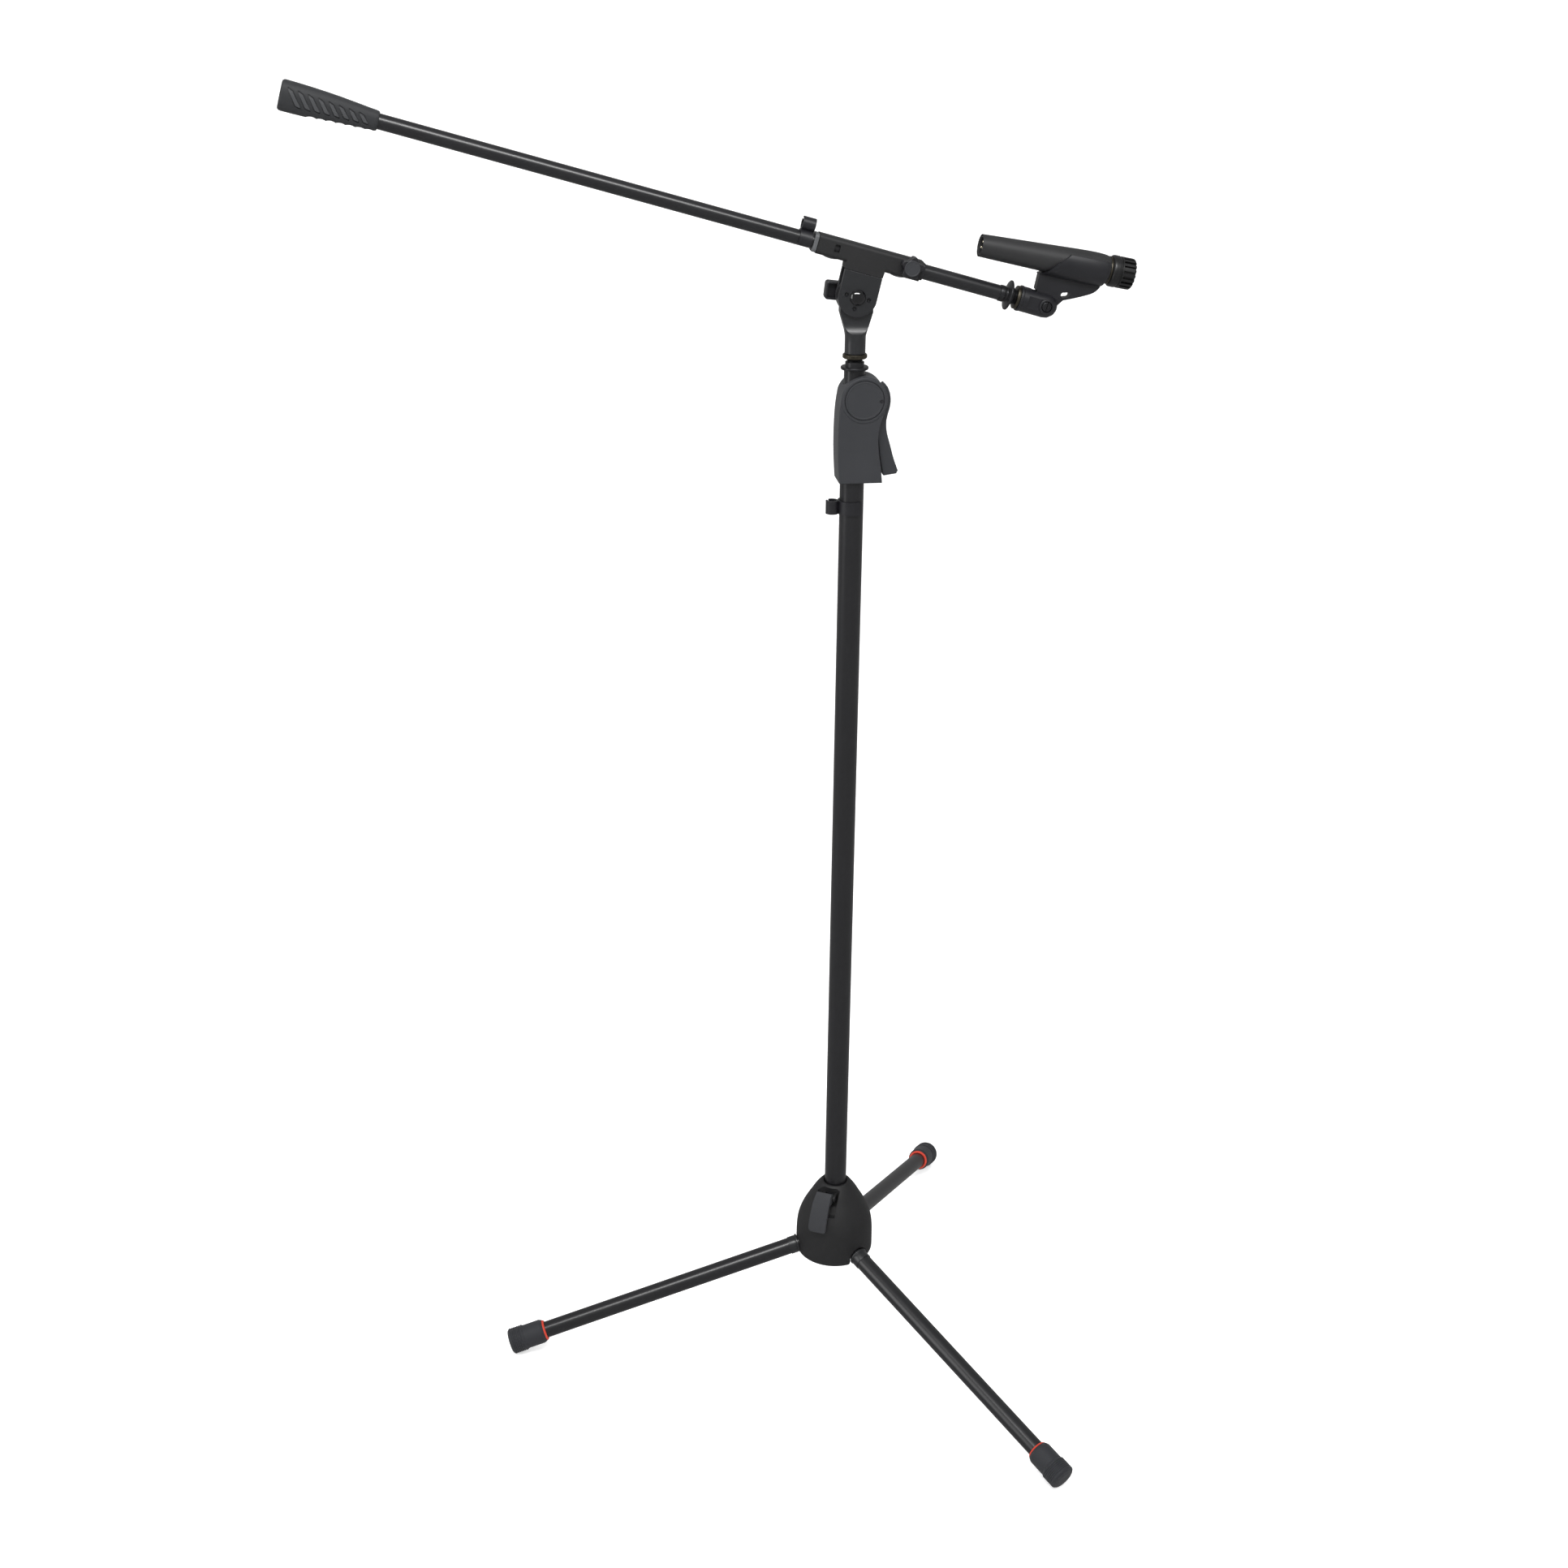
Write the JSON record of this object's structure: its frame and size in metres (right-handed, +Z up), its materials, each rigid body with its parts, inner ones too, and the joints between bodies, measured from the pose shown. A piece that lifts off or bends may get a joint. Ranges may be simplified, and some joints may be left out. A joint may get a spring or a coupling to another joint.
{
  "type": "boom microphone stand",
  "caption": "Floor stand on a folding tripod with a one-hand height clutch, a tilting and sliding boom arm, and a handheld microphone in a tilting clip.",
  "frame": {"origin": "centre of the underside of the column's end plug, on the column's axis, 106 mm above the floor", "axes": "+Z up along the column, +X from the column towards the microphone end of the boom, +Y to the left when looking along +X"},
  "size_m": [0.8402, 0.6818, 1.4425],
  "materials": {
    "satin_black_steel": "satin black powder coat on steel tube",
    "black_plastic": "moulded glass-filled nylon, fine grain",
    "soft_grey_plastic": "soft-touch dark grey moulding",
    "rubber_black": "matt black moulded rubber",
    "rubber_red": "red rubber ring",
    "black_casting": "zinc die casting, black satin",
    "bright_steel": "turned steel, plated",
    "black_oxide_steel": "turned steel, black oxide",
    "black_chrome": "black chrome screw heads",
    "brass": "turned brass, darkened",
    "mic_enamel": "dark matt lacquer on a cast handle"
  },
  "bodies": {
    "hub": {"hub_shell": "black_plastic", "hub_clamp_shoe": "black_plastic", "latch_pin": "bright_steel", "leg_pin_1": "bright_steel", "leg_pin_2": "bright_steel", "leg_pin_3": "bright_steel"},
    "latch": {"hub_latch": "soft_grey_plastic"},
    "leg_left": {"leg_knuckle_1": "black_casting", "leg_tube_1": "satin_black_steel", "leg_ring_1": "rubber_red", "foot_cap_1": "rubber_black"},
    "leg_front": {"leg_knuckle_2": "black_casting", "leg_tube_2": "satin_black_steel", "leg_ring_2": "rubber_red", "foot_cap_2": "rubber_black"},
    "leg_back": {"leg_knuckle_3": "black_casting", "leg_tube_3": "satin_black_steel", "leg_ring_3": "rubber_red", "foot_cap_3": "rubber_black"},
    "column": {"column_tube": "satin_black_steel", "column_plug": "black_plastic", "column_cable_clip": "black_plastic", "clutch_body": "soft_grey_plastic", "clutch_disc": "soft_grey_plastic", "clutch_pin": "bright_steel"},
    "squeeze_lever": {"clutch_lever": "soft_grey_plastic"},
    "mast": {"upper_tube": "satin_black_steel", "thread_stud": "black_oxide_steel"},
    "jam_ring": {"lock_ring": "brass"},
    "head": {"swivel_yoke": "black_casting"},
    "holder": {"boom_holder": "black_plastic", "cheek_front": "black_casting", "cheek_rear": "black_casting", "holder_bush_left": "soft_grey_plastic", "holder_cap_right": "black_plastic", "pivot_bolt": "black_chrome", "boom_cable_clip": "black_plastic"},
    "clamp_handle": {"tee_handle": "black_plastic"},
    "lock_knob": {"boom_lock_knob": "black_plastic", "boom_knob_cover": "soft_grey_plastic"},
    "boom": {"boom_tube": "satin_black_steel", "boom_grip": "rubber_black", "boom_tip": "black_oxide_steel", "clip_insert": "brass", "clip_base": "black_plastic", "clip_screw": "black_chrome"},
    "cradle": {"clip_cradle": "black_plastic"},
    "mic": {"mic_body": "mic_enamel", "mic_connector": "black_plastic", "mic_ring": "brass", "mic_collar": "black_plastic", "mic_grille": "black_plastic"}
  },
  "joints": [
    {"name": "leg_left_fold", "type": "hinge", "parent": "hub", "child": "leg_left", "pos_m": [-0.02799, -0.00083, 0.01591], "axis": [0.0297, -0.9996, 0], "range_deg": [0, 73.1]},
    {"name": "leg_front_fold", "type": "hinge", "parent": "hub", "child": "leg_front", "pos_m": [0.01471, -0.02382, 0.01591], "axis": [0.8508, 0.5255, 0], "range_deg": [0, 73.1]},
    {"name": "leg_back_fold", "type": "hinge", "parent": "hub", "child": "leg_back", "pos_m": [0.01327, 0.02465, 0.01591], "axis": [-0.8805, 0.4741, 0], "range_deg": [0, 73.1]},
    {"name": "hub_latch_lift", "type": "hinge", "parent": "hub", "child": "latch", "pos_m": [-0.01067, -0.01981, 0.083], "axis": [-0.8805, 0.4741, 0], "range_deg": [0, 60]},
    {"name": "column_height", "type": "slide", "parent": "hub", "child": "column", "axis": [0, 0, 1], "range_m": [-0.35, 0]},
    {"name": "clutch_squeeze", "type": "hinge", "parent": "column", "child": "squeeze_lever", "pos_m": [0.0259, 0, 1.0243], "axis": [0, 1, 0], "range_deg": [0, 10], "stiffness_Nm_per_rad": 0.5, "springref_deg": -11.46},
    {"name": "mast_height", "type": "slide", "parent": "column", "child": "mast", "axis": [0, 0, 1], "range_m": [0, 0.58]},
    {"name": "jam_ring_turn", "type": "hinge", "parent": "mast", "child": "jam_ring", "pos_m": [0, 0, 1.068], "axis": [0, 0, 1], "range_deg": [-90, 90]},
    {"name": "head_swivel", "type": "hinge", "parent": "mast", "child": "head", "pos_m": [0, 0, 1.08], "axis": [0, 0, 1], "range_deg": [-180, 180]},
    {"name": "boom_tilt", "type": "hinge", "parent": "head", "child": "holder", "pos_m": [0, 0, 1.128], "axis": [0, 1, 0], "range_deg": [-90.5, 59.4]},
    {"name": "clamp_handle_turn", "type": "hinge", "parent": "holder", "child": "clamp_handle", "pos_m": [0, 0.02, 1.128], "axis": [0, 1, 0], "range_deg": [-90, 90]},
    {"name": "lock_knob_turn", "type": "hinge", "parent": "holder", "child": "lock_knob", "pos_m": [0.05235, -0.0103, 1.15752], "axis": [0, -1, 0], "range_deg": [0, 540]},
    {"name": "boom_reach", "type": "slide", "parent": "holder", "child": "boom", "axis": [0.9633, 0, -0.2686], "range_m": [-0.08, 0.4]},
    {"name": "clip_tilt", "type": "hinge", "parent": "boom", "child": "cradle", "pos_m": [0.19288, 0, 1.11606], "axis": [0, 1, 0], "range_deg": [-12, 45]},
    {"name": "mic_lift_out", "type": "slide", "parent": "cradle", "child": "mic", "axis": [0.9812, 0, -0.193], "range_m": [0, 0.15]}
  ]
}
